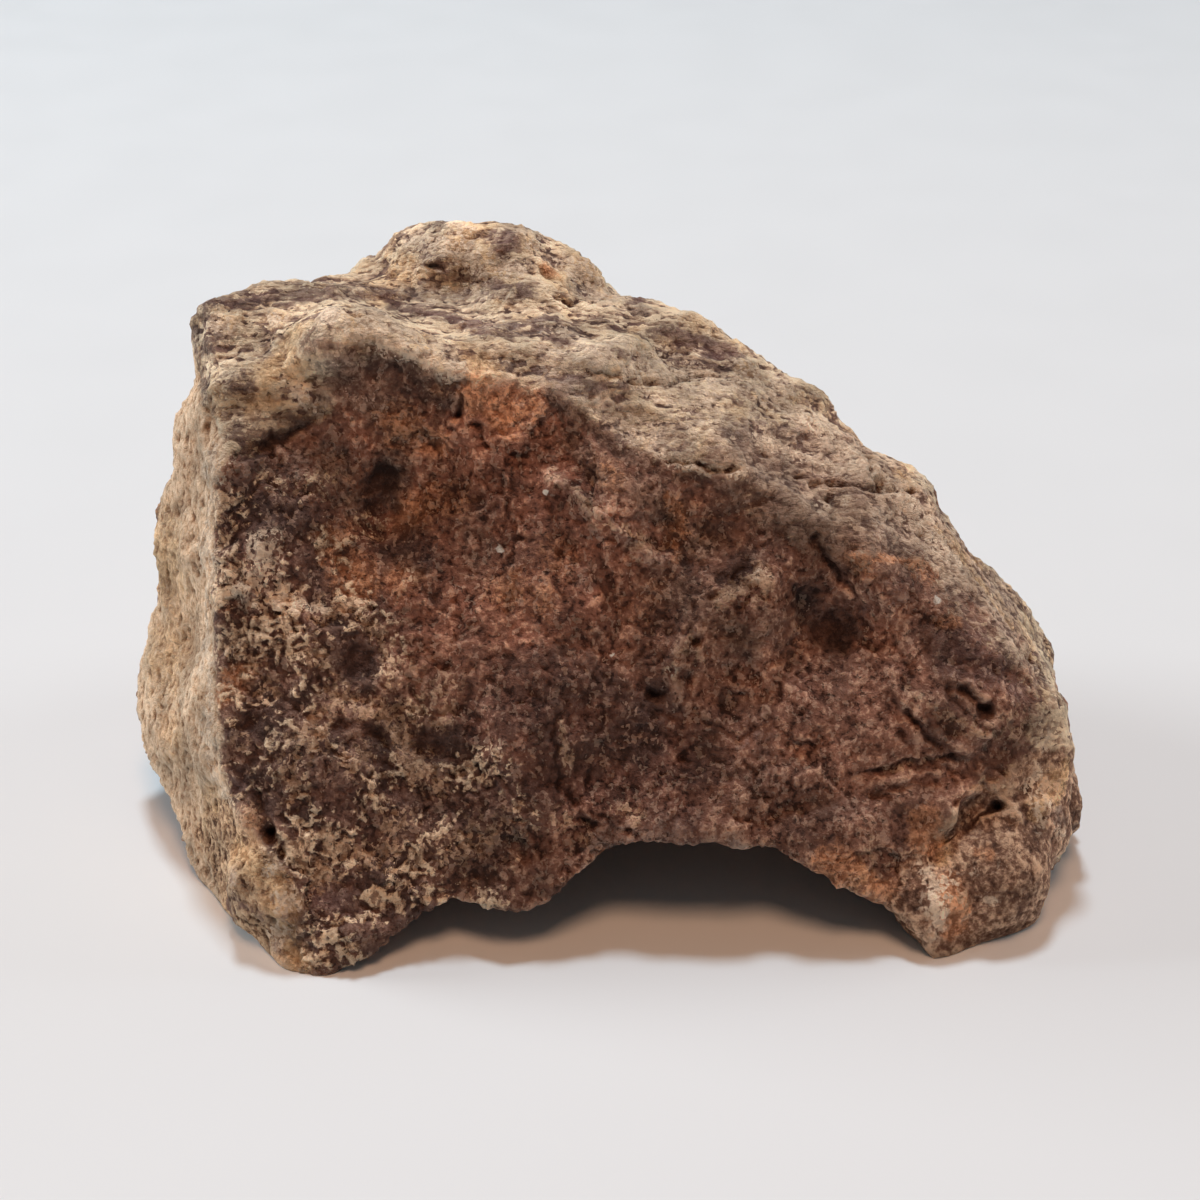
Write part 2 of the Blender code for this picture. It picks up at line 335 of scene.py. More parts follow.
def facets(points, size, shift, stretch=(1, 1, 1)):
    # broken faces: each cell leans its own way, with sharp steps between cells
    spots = places(points, size, shift, stretch)
    height = np.empty(len(spots))
    for index, spot in enumerate(spots):
        seed = noise.voronoi(spot)[1][0]
        lean = noise.cell_vector(seed * 11.3)
        height[index] = (
            (lean[0] - 0.5) * (spot[0] - seed[0]) + (lean[1] - 0.5) * (spot[1] - seed[1])
            + (lean[2] - 0.5) * (spot[2] - seed[2]) + 0.35 * (lean[0] + lean[1] - 1.0))
    return height


def steps(height, count):
    # turns a soft slope into flat shelves with short risers
    scaled = height * count
    base = np.floor(scaled)
    return (base + smoothStep(scaled - base, 0.70, 1.0)) / count


def evenStone(cadStone, form):
    stone = bpy.data.objects.new("stoneBody", cadStone.data.copy())
    bpy.context.scene.collection.objects.link(stone)
    remesh = stone.modifiers.new("evenMesh", "REMESH")
    remesh.mode = "VOXEL"
    remesh.voxel_size = form["meshStep"] * mm
    soften = stone.modifiers.new("melt", "SMOOTH")
    soften.factor = 0.5
    soften.iterations = form["softening"]
    settle(stone)
    return stone


stone = evenStone(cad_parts["meteorite"], stoneForm)
print("even mesh", len(stone.data.vertices), "points")


class Sight:
    # finds the spot of the stone's surface behind a pixel of the photo

    def __init__(self, stone, view):
        self.view = view
        graph = bpy.context.evaluated_depsgraph_get()
        self.tree = BVHTree.FromObject(stone, graph)

    def hit(self, across, down):
        start, back, up, step = viewAxes(self.view)
        half = self.view["pixels"] / 2
        way = -back + Vector((1, 0, 0)) * (across - half) * step + up * (half - down) * step
        found = self.tree.ray_cast(start * mm, way.normalized())[0]
        return None if found is None else np.array([found]) / mm

    def path(self, corners):
        # spots along a line of corners
        spots = []
        gap = 4.0    # pixels
        for (x0, y0), (x1, y1) in zip(corners, corners[1:]):
            count = max(2, int(math.dist((x0, y0), (x1, y1)) / gap))
            for index in range(count + 1):
                share = index / count
                spot = self.hit(x0 + (x1 - x0) * share, y0 + (y1 - y0) * share)
                if spot is not None:
                    spots.append(spot[0])
        return np.array(spots)


def nearness(points, spots, radius):
    # 1 on the spots, 0 at the radius and beyond
    low = spots.min(axis=0) - radius
    high = spots.max(axis=0) + radius
    inside = np.where(np.all((points > low) & (points < high), axis=1))[0]
    result = np.zeros(len(points))
    if len(inside) == 0:
        return result
    gap = np.full(len(inside), 1e9)
    for spot in spots:
        gap = np.minimum(gap, np.sum((points[inside] - spot) ** 2, axis=1))
    result[inside] = 1.0 - smoothStep(np.sqrt(gap), 0.0, radius)
    return result


def outlineShare(pixels, outline, soft):
    # 1 inside an outline drawn on the photo, 0 outside, soft pixels at its edge
    corners = np.array(outline, dtype=float)
    inside = np.zeros(len(pixels), dtype=bool)
    gap = np.full(len(pixels), 1e9)
    x, y = pixels[:, 0], pixels[:, 1]
    for (x0, y0), (x1, y1) in zip(corners, np.roll(corners, -1, axis=0)):
        if y0 != y1:
            inside ^= ((y0 > y) != (y1 > y)) & (x < (x1 - x0) * (y - y0) / (y1 - y0) + x0)
        reach = (x1 - x0) ** 2 + (y1 - y0) ** 2
        along = np.clip(((x - x0) * (x1 - x0) + (y - y0) * (y1 - y0)) / reach, 0, 1)
        gap = np.minimum(gap, (x - x0 - along * (x1 - x0)) ** 2 + (y - y0 - along * (y1 - y0)) ** 2)
    signed = np.where(inside, 1.0, -1.0) * np.sqrt(gap)
    return smoothStep(signed, -soft, soft)


# lines that several outlines share, in photo pixels
browLine = (
    (232, 452), (262, 447), (300, 428), (335, 402), (348, 368), (372, 345), (400, 352), (432, 370),
    (480, 380), (520, 384), (560, 398), (600, 428), (650, 456), (700, 466), (745, 482), (760, 515),
    (805, 540), (850, 562), (925, 565), (955, 600), (1000, 640))
leftRim = ((288, 900), (262, 838), (228, 800), (214, 650))

# outlines of the kinds of surface: softness of the border, corners in photo pixels
kinds = {
    "broken": (26, (
        (218, 470), *browLine, (1040, 690), (1035, 745), (1003, 775), (965, 800), (930, 835),
        (905, 900), (700, 1000), (300, 1000), *leftRim, (216, 550))),
    "charred": (45, (
        (216, 490), (300, 476), (365, 520), (392, 590), (402, 690), (470, 740), (520, 790), (530, 850),
        (500, 920), (300, 1000), *leftRim)),
    "leftSide": (7, (
        (100, 330), (196, 355), (206, 400), (222, 440), (216, 550), (214, 650), (222, 760), (228, 800),
        (262, 838), (288, 900), (300, 980), (260, 1010), (100, 1010))),
    "rightFoot": (14, (
        (905, 850), (930, 835), (965, 800), (1003, 775), (1035, 745), (1110, 760), (1110, 960),
        (880, 990), (880, 900))),
    "greySlope": (22, (
        (690, 460), (740, 430), (850, 425), (935, 500), (1010, 600), (1045, 690),
        *reversed(browLine[14:]))),
    "reddish": (55, ((330, 400), (520, 380), (640, 470), (650, 620), (560, 680), (400, 640), (300, 560))),
    "dim": (35, ((470, 690), (640, 680), (720, 740), (700, 850), (560, 850), (470, 790))),
    "bareEdge": (7, (
        (222, 900), (196, 830), (205, 805), (228, 800), (262, 838), (288, 900), (300, 980), (250, 1000),
        (200, 940))),
    "flowing": (20, (
        (850, 650), (905, 640), (960, 640), (1030, 700), (1030, 750), (1000, 790), (930, 840),
        (850, 850), (800, 800), (830, 720))),
    "topSide": (12, (
        (150, 180), (1000, 180), (1100, 560), (1040, 690), *reversed(browLine), (206, 400), (196, 355))),
}


def surfaceKinds(points, normals):
    # how much each point belongs to each kind of surface
    toEye = np.array(viewAxes(photoView)[0]) - points
    toEye /= np.linalg.norm(toEye, axis=1)[:, None]
    seen = smoothStep(np.sum(toEye * normals, axis=1), -0.10, 0.12)
    pixels = toPixels(photoView, points)
    wobble = drift(points, 1.8, (3.0, 31.0)) * 18.0
    wobble += drift(points, 0.6, (5.0, 33.0)) * 12.0
    # the edge on the left is clean, the other borders wander
    loose = 0.25 + 0.75 * smoothStep(pixels[:, 0], 226, 300)
    pixels = pixels + wobble * loose[:, None]
    share = {}
    for name, (soft, outline) in kinds.items():
        share[name] = outlineShare(pixels, outline, soft * loose) * seen
    # the sides that the photo does not show follow the way they face
    hidden = 1.0 - seen
    below = smoothStep(-normals[:, 2], 0.15, 0.55)
    film = cloud(points, 13.0, 47.0) + 0.6 * cloud(points, 4.5, 3.0) + 0.4 * cloud(points, 1.6, 11.0)
    stain = 0.40 + 0.60 * smoothStep(film, -0.45, 0.35)
    upward = smoothStep(normals[:, 2] + 0.10 * film, 0.35, 0.90)
    upright = (1.0 - below) * (1.0 - upward)
    share["broken"] += hidden * np.maximum(below, stain * (1.0 - upward))
    share["topSide"] += hidden * upward
    share["leftSide"] += hidden * upright * (1.0 - stain)
    return share


def texture(points, share, skin):
    # height of the texture in mm, and where the crust and the slots are
    height = np.zeros(len(points))
    size, rise = skin["knuckles"]
    height += rise * cloud(points, size, 5.0)

    bent = points + drift(points, 1.1, (41.0, 43.0, 57.0)) * 0.5
    rough = share["broken"] * (1.0 - 0.45 * share["flowing"])
    size, rise = skin["bigFacets"]
    height += (0.35 + 0.65 * rough) * rise * facets(bent, size, 2.0)
    size, rise = skin["facets"]
    height += (0.25 + 0.75 * rough) * rise * facets(bent, size, 14.0)
    size, rise = skin["smallFacets"]
    height += rough * rise * facets(bent, size, 26.0)
    size, rise = skin["brokenRidges"]
    height += rough * rise * (0.5 - creased(bent, size, 23.0))

    size, rise = skin["flakes"]
    flakes = creased(bent, size, 11.0, stretch=(2.0, 0.8, 0.7))
    height += share["topSide"] * rise * (0.5 - flakes)
    size, rise = skin["flakeFacets"]
    height += share["topSide"] * rise * facets(bent, size, 35.0, stretch=(1.8, 0.8, 0.8))
    size, rise = skin["flakeSteps"]
    shelves = cloud(points, size, 71.0, stretch=(1.6, 0.8, 0.8))
    shelves += 0.45 * cloud(points, 1.9, 17.0, stretch=(1.8, 0.8, 0.8))
    height += share["topSide"] * rise * (steps(shelves, 5.0) - shelves * 0.6)

    size, rise = skin["leftPits"]
    slots = pocks(bent, size, 83.0, (0.8, 0.8, 2.0), 0.6)
    plates = creased(bent, 1.6, 91.0, stretch=(1, 1, 2.2))
    height += share["leftSide"] * rise * (0.4 - 0.8 * plates - slots)

    size, rise = skin["crustNet"]
    net = 1.0 - np.abs(cloud(bent, size, 37.0)) * 2.6 - 0.9 * cloud(points, 0.42, 53.0)
    net += 1.5 * cloud(points, 2.8, 29.0)
    crust = smoothStep(net, 0.50, 1.15) * share["charred"]
    height += rise * smoothStep(crust, 0.25, 0.75)

    size, rise = skin["grit"]
    height += rise * cloud(points, size, 97.0) * (1.0 - 0.4 * share["flowing"])
    return height, crust, slots


def addMarks(points, height, sight):
    # presses the single marks into the height, and gives the painted shade of the cracks and hollows
    moved = points + drift(points, 0.9, (7.0, 13.0, 19.0)) * 0.35
    patchy = np.clip(0.85 + 0.8 * cloud(points, 1.2, 21.0), 0.35, 1.3)
    markShade = np.zeros(len(points))

    def around(across, down, radius):
        return nearness(moved, sight.hit(across, down), radius * fading["spot"])

    for corners, width, depth in cracks.values():
        near = nearness(moved, sight.path(corners), width * fading["crack"]) * patchy
        height -= depth * near
        # painted shade in the crack, darker for deeper cracks
        markShade = np.maximum(markShade, near * min(1.0, depth / 0.45))
    for corners, width, rise in ribs.values():
        height += rise * nearness(moved, sight.path(corners), width * fading["rib"]) * patchy
    for across, down, radius, rise in broadForms.values():
        height += rise * around(across, down, radius)
    for across, down, radius, depth in hollows.values():
        near = around(across, down, radius)
        height -= depth * near
        # painted shade in the hollow
        markShade = np.maximum(markShade, near * 0.8)
    for across, down, radius, rise in lumps.values():
        height += rise * around(across, down, radius)
    return markShade


def standProud(mesh, rounds):
    # how far each point stands out of its surroundings, in mm
    count = len(mesh.vertices)
    pairs = np.empty(len(mesh.edges) * 2, dtype=np.int32)
    mesh.edges.foreach_get("vertices", pairs)
    first, second = pairs[0::2], pairs[1::2]
    links = np.bincount(pairs, minlength=count)
    points = pointsOf(mesh)
    calm = points.copy()
    for turn in range(rounds):
        total = np.empty_like(calm)
        for axis in range(3):
            total[:, axis] = np.bincount(first, weights=calm[second, axis], minlength=count)
            total[:, axis] += np.bincount(second, weights=calm[first, axis], minlength=count)
        calm = 0.5 * calm + 0.5 * total / links[:, None]
    return np.sum((points - calm) * normalsOf(mesh), axis=1)


def carve(stone, sight, form, skin):
    mesh = stone.data
    points = pointsOf(mesh)
    normals = normalsOf(mesh)
    share = surfaceKinds(points, normals)
    height, crust, slots = texture(points, share, skin)
    markShade = addMarks(points, height, sight)

    offFloor = smoothStep(points[:, 2], *form["floorFade"])
    limit = form["mostRelief"]
    points += normals * (np.clip(height, -limit, limit) * offFloor)[:, None]
    points[:, 2] = np.maximum(points[:, 2], 0.0)
    low = np.array(cadLow) / mm - form["boxSpare"]
    high = np.array(cadHigh) / mm + form["boxSpare"]
    points = np.clip(points, low, high)
    points[:, 2] = np.maximum(points[:, 2], 0.0)
    setPoints(mesh, points)

    for name in share:
        if name != "flowing":
            addWeight(mesh, name, share[name])
    addWeight(mesh, "crust", crust)
    # painted shade for the cracks, hollows and left-side slots
    addWeight(mesh, "hollowShade", np.maximum(markShade, 0.8 * slots * share["leftSide"]))
    # how far the surface stands out: lighter on ridges, painted shade in creases and hollows
    fineEdge = np.clip(standProud(mesh, 5) / 0.055, -1, 1)
    broadEdge = np.clip(standProud(mesh, 40) / 0.30, -1, 1)
    addWeight(mesh, "edge", fineEdge * 0.55 + broadEdge * 0.45)


def thinOut(stone, form):
    stone.data.calc_loop_triangles()
    count = len(stone.data.loop_triangles)
    thin = stone.modifiers.new("fewerFaces", "DECIMATE")
    thin.ratio = min(1.0, form["triangles"] / count)
    settle(stone)
    stone.data.shade_smooth()
    stone.data.calc_loop_triangles()
    print("stone has", len(stone.data.loop_triangles), "triangles, was", count)


carve(stone, Sight(stone, photoView), stoneForm, stoneSkin)
print("surface carved")
thinOut(stone, stoneForm)


# patches of colour: photo pixel, radius in mm, strength
patches = {
    "rust": (
        (478, 396, 1.5, 0.8), (505, 410, 1.6, 0.9), (532, 404, 1.2, 0.8), (445, 388, 0.8, 0.5),
        (402, 424, 1.7, 0.7), (436, 440, 1.3, 0.7), (412, 516, 1.6, 0.9), (428, 500, 1.1, 0.6),
        (338, 540, 1.5, 0.7), (356, 582, 1.9, 0.9), (402, 575, 1.6, 0.8), (330, 560, 1.2, 0.6),
        (240, 678, 1.3, 0.8), (226, 692, 1.0, 0.8), (222, 600, 0.8, 0.5), (548, 272, 0.7, 0.9),
        (500, 254, 0.7, 0.6), (505, 590, 1.8, 0.6), (540, 600, 1.6, 0.5), (680, 530, 1.2, 0.6),
        (860, 565, 1.2, 0.5), (925, 572, 1.2, 0.5), (950, 622, 0.8, 0.7), (926, 834, 1.1, 0.8),
        (958, 905, 1.0, 1.0), (985, 850, 0.6, 0.7), (840, 872, 1.6, 0.8), (880, 890, 1.2, 0.6),
        (800, 745, 2.0, 0.2), (640, 610, 2.2, 0.25), (560, 560, 2.2, 0.4), (450, 500, 2.0, 0.4),
        (610, 470, 1.6, 0.4), (250, 815, 1.0, 0.6), (390, 840, 0.9, 0.4), (470, 880, 1.0, 0.3),
        (1020, 640, 0.8, 0.4)),
    "pale": (
        (950, 880, 0.7, 0.8), (975, 870, 0.5, 0.7), (990, 900, 0.5, 0.6), (1000, 870, 0.5, 0.6),
        (940, 930, 0.5, 0.7), (1035, 790, 0.8, 0.8), (1050, 812, 0.6, 0.7), (1060, 832, 0.5, 0.6),
        (262, 548, 1.1, 1.0), (268, 570, 0.9, 0.9), (243, 584, 0.9, 1.0), (286, 598, 0.8, 0.7),
        (255, 606, 0.8, 0.6), (221, 322, 0.8, 0.8), (275, 318, 0.9, 0.8), (224, 792, 0.7, 0.9),
        (344, 314, 1.0, 0.7), (378, 318, 1.1, 0.8), (400, 334, 1.3, 0.8), (440, 352, 1.2, 0.6),
        (600, 298, 1.3, 1.0), (618, 288, 1.2, 0.9), (585, 268, 1.1, 0.8), (480, 270, 1.6, 0.6),
        (530, 236, 1.1, 0.8), (458, 236, 1.2, 0.7), (650, 365, 1.8, 0.8), (600, 345, 1.4, 0.7),
        (690, 395, 1.6, 0.7), (745, 366, 1.1, 0.7), (640, 432, 1.4, 0.7), (700, 420, 1.4, 0.5),
        (780, 385, 1.6, 0.6), (552, 350, 1.2, 0.5), (285, 900, 0.8, 0.9), (280, 930, 0.9, 0.9),
        (268, 870, 0.7, 0.7), (300, 395, 0.7, 0.7), (318, 412, 0.7, 0.6), (820, 508, 0.9, 0.5),
        (845, 500, 0.6, 0.6), (936, 884, 0.6, 0.8), (932, 908, 0.7, 0.9), (675, 672, 0.5, 0.5),
        (757, 575, 0.6, 0.5), (412, 340, 1.0, 0.5), (210, 470, 1.6, 0.6), (206, 560, 1.6, 0.7),
        (206, 650, 1.6, 0.8), (206, 740, 1.4, 0.7), (1046, 740, 0.8, 0.5), (965, 480, 1.4, 0.5)),
    "tan": (
        (320, 615, 1.0, 0.9), (300, 612, 0.7, 0.7), (255, 662, 0.8, 0.8), (312, 655, 0.8, 0.8),
        (270, 690, 0.9, 0.6), (340, 700, 1.2, 0.6), (356, 756, 1.1, 0.8), (418, 765, 1.2, 1.0),
        (432, 785, 1.0, 0.8), (310, 740, 1.3, 0.7), (290, 770, 1.1, 0.7), (300, 790, 0.9, 0.8),
        (395, 820, 1.0, 0.7), (340, 850, 1.4, 0.7), (325, 870, 1.1, 0.8), (318, 885, 0.8, 0.8),
        (375, 855, 1.2, 0.5), (455, 850, 1.3, 0.7), (480, 835, 1.4, 0.5), (520, 830, 1.6, 0.4),
        (247, 818, 1.0, 0.9), (620, 808, 0.7, 0.9), (634, 821, 0.5, 0.9), (560, 820, 1.2, 0.4),
        (400, 720, 1.4, 0.5), (385, 700, 1.0, 0.5), (440, 690, 1.6, 0.4), (240, 740, 0.8, 0.5),
        (445, 715, 1.2, 0.4), (395, 660, 1.2, 0.5), (760, 590, 1.3, 0.5), (700, 655, 1.6, 0.3),
        (570, 760, 0.6, 0.5), (960, 898, 1.0, 0.6), (1052, 785, 1.0, 0.8), (1040, 800, 0.8, 0.7),
        (1010, 790, 1.0, 0.5), (960, 820, 1.2, 0.4), (1015, 720, 1.2, 0.4), (985, 735, 1.2, 0.3),
        (600, 520, 1.2, 0.4), (580, 500, 1.0, 0.5), (640, 545, 1.0, 0.5), (890, 870, 0.8, 0.5),
        (870, 850, 1.0, 0.5)),
    "ochre": (
        (276, 318, 1.1, 0.9), (288, 345, 1.0, 0.7), (268, 395, 1.1, 0.7), (300, 372, 1.0, 0.7),
        (358, 322, 1.2, 0.9), (372, 333, 0.9, 0.8), (432, 356, 1.2, 0.7), (480, 366, 1.5, 0.8),
        (458, 238, 1.2, 0.9), (484, 264, 1.2, 0.8), (524, 240, 1.0, 0.8), (546, 276, 1.1, 0.9),
        (586, 266, 1.0, 0.8), (604, 298, 1.0, 0.8), (620, 290, 0.9, 0.9), (746, 366, 1.0, 0.9),
        (712, 330, 1.2, 0.5), (800, 400, 1.4, 0.5), (168, 470, 3.6, 0.8), (162, 560, 4.0, 0.8),
        (166, 650, 3.6, 0.7), (172, 740, 2.6, 0.5), (1052, 784, 1.3, 0.9), (1038, 806, 0.9, 0.9),
        (960, 552, 1.6, 0.6), (940, 852, 0.8, 0.7), (288, 905, 1.0, 0.9), (276, 880, 1.0, 0.8),
        (252, 862, 1.2, 0.6), (300, 955, 0.9, 0.7), (218, 400, 1.4, 0.7), (226, 322, 0.8, 0.9),
        (210, 800, 1.2, 0.7), (640, 370, 1.6, 0.5), (400, 268, 1.8, 0.6), (360, 268, 1.4, 0.5),
        (500, 275, 1.2, 0.6), (975, 560, 1.4, 0.5), (1000, 600, 1.2, 0.4), (690, 320, 1.2, 0.5),
        (850, 430, 1.4, 0.4), (905, 480, 1.2, 0.6), (420, 335, 1.2, 0.5), (570, 345, 1.2, 0.5),
        (860, 880, 1.4, 0.5)),
    # charred crust, and painted shade in the hollows
    "charAndHollowShade": (
        (255, 502, 2.3, 0.9), (290, 512, 2.0, 0.8), (400, 545, 1.8, 0.9), (425, 560, 1.3, 0.8),
        (250, 722, 1.8, 1.0), (262, 700, 1.5, 0.8), (360, 662, 1.9, 0.9), (340, 640, 1.4, 0.6),
        (392, 742, 1.3, 0.8), (330, 740, 1.2, 0.9), (372, 785, 1.2, 0.7), (275, 802, 1.3, 0.9),
        (302, 812, 1.6, 0.9), (385, 872, 1.7, 0.9), (410, 890, 1.5, 0.8), (440, 740, 1.5, 0.9),
        (600, 640, 1.2, 0.4), (565, 690, 2.4, 0.7), (640, 722, 2.6, 0.9), (600, 742, 2.2, 0.6),
        (655, 698, 1.0, 1.0), (740, 568, 1.3, 0.9), (835, 628, 2.0, 1.0), (800, 590, 1.4, 0.6),
        (380, 486, 1.8, 1.0), (377, 505, 1.0, 0.9), (455, 405, 1.0, 0.7), (590, 575, 1.2, 0.7),
        (540, 660, 1.6, 0.5), (500, 775, 1.4, 0.7), (545, 730, 1.3, 0.6), (425, 740, 1.2, 0.8),
        (930, 735, 1.0, 0.7), (985, 710, 0.9, 0.8), (998, 808, 1.0, 1.0), (965, 828, 0.8, 0.8),
        (250, 775, 1.2, 0.7), (235, 380, 1.2, 0.4), (230, 335, 1.4, 0.5), (205, 312, 1.2, 0.7),
        (205, 345, 1.1, 0.7), (245, 345, 1.0, 0.4), (230, 372, 1.0, 0.4), (440, 222, 1.1, 0.9),
        (250, 305, 1.2, 0.7), (500, 258, 0.9, 0.6), (548, 258, 0.6, 0.8), (300, 420, 0.8, 0.7),
        (560, 740, 0.6, 0.8), (840, 470, 0.8, 0.3), (955, 690, 1.0, 0.5), (330, 835, 1.1, 0.6),
        (300, 700, 1.2, 0.5), (310, 935, 2.0, 0.5), (1000, 660, 1.0, 0.5)),
    "ash": (
        (340, 470, 2.2, 0.7), (352, 500, 1.6, 0.7), (300, 462, 1.4, 0.5), (315, 345, 1.6, 0.7),
        (335, 362, 1.4, 0.7), (325, 318, 1.3, 0.7), (590, 365, 2.0, 0.7), (560, 372, 2.0, 0.8),
        (612, 408, 1.6, 0.8), (500, 362, 1.6, 0.7), (510, 330, 1.6, 0.6), (475, 325, 1.6, 0.5),
        (545, 325, 1.4, 0.6), (570, 335, 1.0, 0.7), (620, 340, 0.8, 0.6), (655, 438, 1.2, 0.8),
        (680, 440, 1.8, 0.7), (740, 430, 1.8, 0.6), (720, 385, 1.2, 0.6), (700, 345, 1.2, 0.7),
        (690, 335, 1.0, 0.5), (640, 305, 1.0, 0.8), (760, 420, 1.6, 0.5), (800, 425, 1.6, 0.5),
        (775, 490, 2.6, 0.4), (740, 480, 1.8, 0.3), (850, 475, 2.2, 0.3), (880, 520, 2.6, 0.3),
        (640, 525, 1.0, 0.4), (655, 550, 1.0, 0.5), (600, 500, 0.8, 0.4), (565, 480, 0.8, 0.4),
        (233, 876, 0.9, 1.0), (278, 944, 0.7, 0.9), (280, 960, 0.5, 0.7), (405, 750, 0.7, 0.8),
        (395, 745, 0.6, 0.8), (575, 290, 1.0, 0.8), (520, 290, 1.4, 0.5), (430, 262, 1.2, 0.6),
        (510, 238, 1.3, 0.6), (430, 300, 1.6, 0.4), (1005, 600, 1.6, 0.6), (960, 560, 1.6, 0.5),
        (1020, 640, 1.0, 0.4), (1045, 780, 1.2, 0.5), (1060, 820, 1.4, 0.4), (940, 930, 1.2, 0.5),
        (660, 830, 2.0, 0.4), (620, 843, 1.6, 0.5), (760, 780, 2.4, 0.3), (840, 800, 2.4, 0.3),
        (420, 900, 1.4, 0.3), (228, 645, 0.6, 0.7), (370, 270, 1.4, 0.4)),
    # painted light: patches made brighter, mostly on the knob, the top and the slopes
    "paintedLightPatch": (
        (440, 240, 3.4, 1.0), (500, 255, 3.4, 1.0), (560, 285, 2.6, 0.8), (600, 400, 2.6, 0.8),
        (560, 370, 2.6, 0.7), (820, 450, 4.0, 0.6), (900, 500, 4.0, 0.6), (320, 350, 2.4, 0.9),
        (1050, 800, 2.6, 0.8), (955, 890, 2.6, 0.9), (262, 560, 2.2, 0.6), (320, 610, 2.4, 0.5),
        (330, 720, 3.0, 0.5), (480, 400, 3.6, 0.8), (620, 510, 3.6, 0.6), (960, 770, 2.6, 0.5),
        (700, 360, 3.2, 0.3)),
    # painted shade on the shaded side of the nose and under the brow
    "underLipShade": ((340, 380, 1.6, 0.9), (365, 400, 1.6, 0.9), (440, 400, 1.2, 0.8)),
    "plum": (
        (700, 340, 1.2, 0.8), (722, 352, 1.0, 0.8), (735, 362, 0.8, 0.6), (505, 242, 1.3, 0.9),
        (440, 218, 1.1, 1.0), (555, 262, 0.8, 0.7), (240, 386, 1.2, 0.8), (330, 318, 1.2, 0.6),
        (260, 420, 1.0, 0.5), (240, 430, 1.0, 0.6), (640, 300, 0.9, 0.7), (960, 650, 2.2, 0.7),
        (990, 665, 1.8, 0.8), (1015, 690, 1.2, 0.7), (985, 640, 1.4, 0.6), (330, 900, 1.8, 0.7),
        (300, 920, 1.8, 0.6), (350, 890, 1.4, 0.6), (350, 790, 1.4, 0.5), (240, 780, 1.4, 0.7),
        (230, 520, 1.2, 0.6), (225, 600, 1.0, 0.5), (690, 830, 2.4, 0.4), (760, 740, 2.4, 0.4),
        (800, 680, 2.4, 0.3), (900, 600, 1.8, 0.4), (860, 620, 1.6, 0.4), (400, 800, 1.4, 0.5),
        (240, 465, 1.4, 0.5), (850, 700, 2.2, 0.3)),
}

